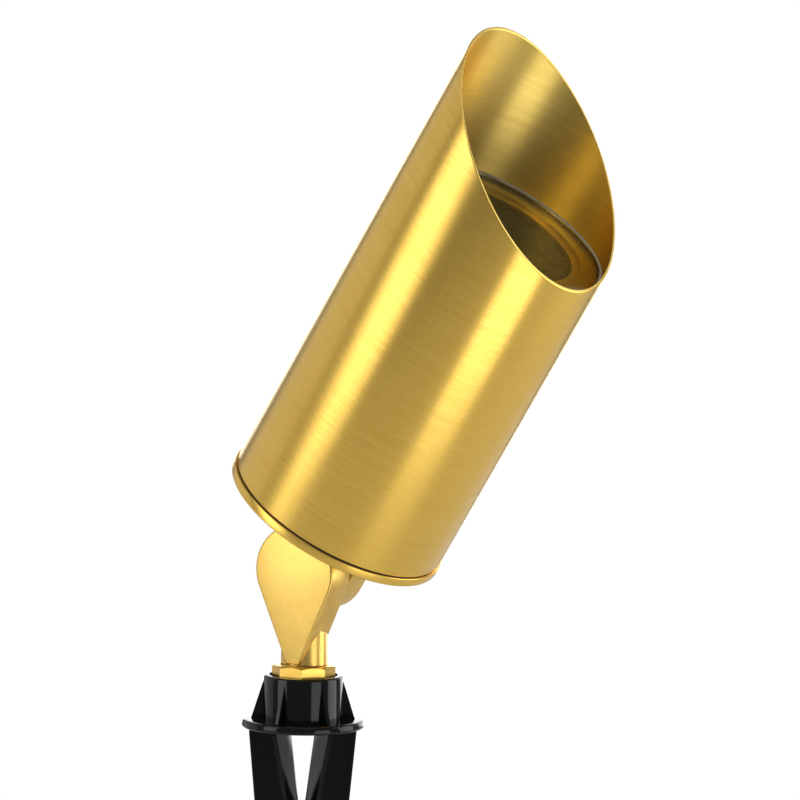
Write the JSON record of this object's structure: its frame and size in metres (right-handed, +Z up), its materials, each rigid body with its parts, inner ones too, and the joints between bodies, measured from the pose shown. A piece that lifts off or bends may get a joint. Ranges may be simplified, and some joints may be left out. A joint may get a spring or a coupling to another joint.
{
  "type": "garden spike spotlight",
  "caption": "Brass garden spotlight: slant-cut cowl on a round cap, tilting knuckle, threaded stem with octagonal locknut, and a black plastic ground spike.",
  "frame": {"origin": "centre of the underside of the spike's flange, on the axis of the stem and spike, at soil level", "axes": "+Z up along the stem and spike, +X the side that the head leans to, +Y along the knuckle's pin towards the head's ear"},
  "size_m": [0.1712, 0.103, 0.5678],
  "materials": {
    "brass": "brushed natural brass",
    "spike_plastic": "glossy moulded black",
    "rubber": "matte black",
    "stainless": "turned",
    "driver_case": "potted, matte",
    "aluminium": "machined",
    "thermal_pad": "matte",
    "lead_insulation": "extruded",
    "led_phosphor": "smooth gel",
    "white_plastic": "moulded",
    "reflector": "black anodised",
    "optic": "dark moulded optic with fine rings",
    "black_plastic": "moulded",
    "glass": "clear polished",
    "silicone": "clear, uneven bead"
  },
  "bodies": {
    "spike": {"ground_spike": "spike_plastic"},
    "stem": {"stem_knuckle": "brass", "stem_grommet": "rubber", "pivot_washer": "rubber"},
    "locknut": {"locknut": "brass"},
    "pivot_screw": {"pivot_screw": "stainless"},
    "head": {"head_knuckle": "brass", "spring_washer": "stainless", "foot_gasket": "rubber", "foot_screws": "stainless", "rear_cap": "brass", "cap_seal": "rubber", "standoffs": "brass", "driver": "driver_case", "driver_screws": "stainless", "heat_sink": "aluminium", "sink_screws": "stainless", "thermal_pad": "thermal_pad", "led_board": "aluminium", "led_leads": "lead_insulation", "led_chip": "led_phosphor", "chip_holder": "white_plastic", "holder_screws": "stainless", "reflector": "reflector", "optic": "optic", "optic_clip": "black_plastic"},
    "cowl": {"cowl_tube": "brass", "lens_seat": "brass", "lens_gasket": "rubber", "lens_glass": "glass", "lens_bead": "silicone"}
  },
  "joints": [
    {"name": "stem_swivel", "type": "hinge", "parent": "spike", "child": "stem", "pos_m": [0, 0, 0.0237], "axis": [0, 0, 1], "range_deg": [-180, 180]},
    {"name": "locknut_turn", "type": "hinge", "parent": "stem", "child": "locknut", "pos_m": [0, 0, 0.025], "axis": [0, 0, 1], "range_deg": [0, 180]},
    {"name": "pivot_screw_turn", "type": "hinge", "parent": "stem", "child": "pivot_screw", "pos_m": [0, 0, 0.071], "axis": [0, 1, 0], "range_deg": [0, 180]},
    {"name": "head_tilt", "type": "hinge", "parent": "stem", "child": "head", "pos_m": [0, 0, 0.071], "axis": [0, 1, 0], "range_deg": [-122, 58]},
    {"name": "cowl_turn", "type": "hinge", "parent": "head", "child": "cowl", "pos_m": [0.01553, 0, 0.09585], "axis": [0.5299, 0, 0.848], "range_deg": [-180, 180]}
  ]
}
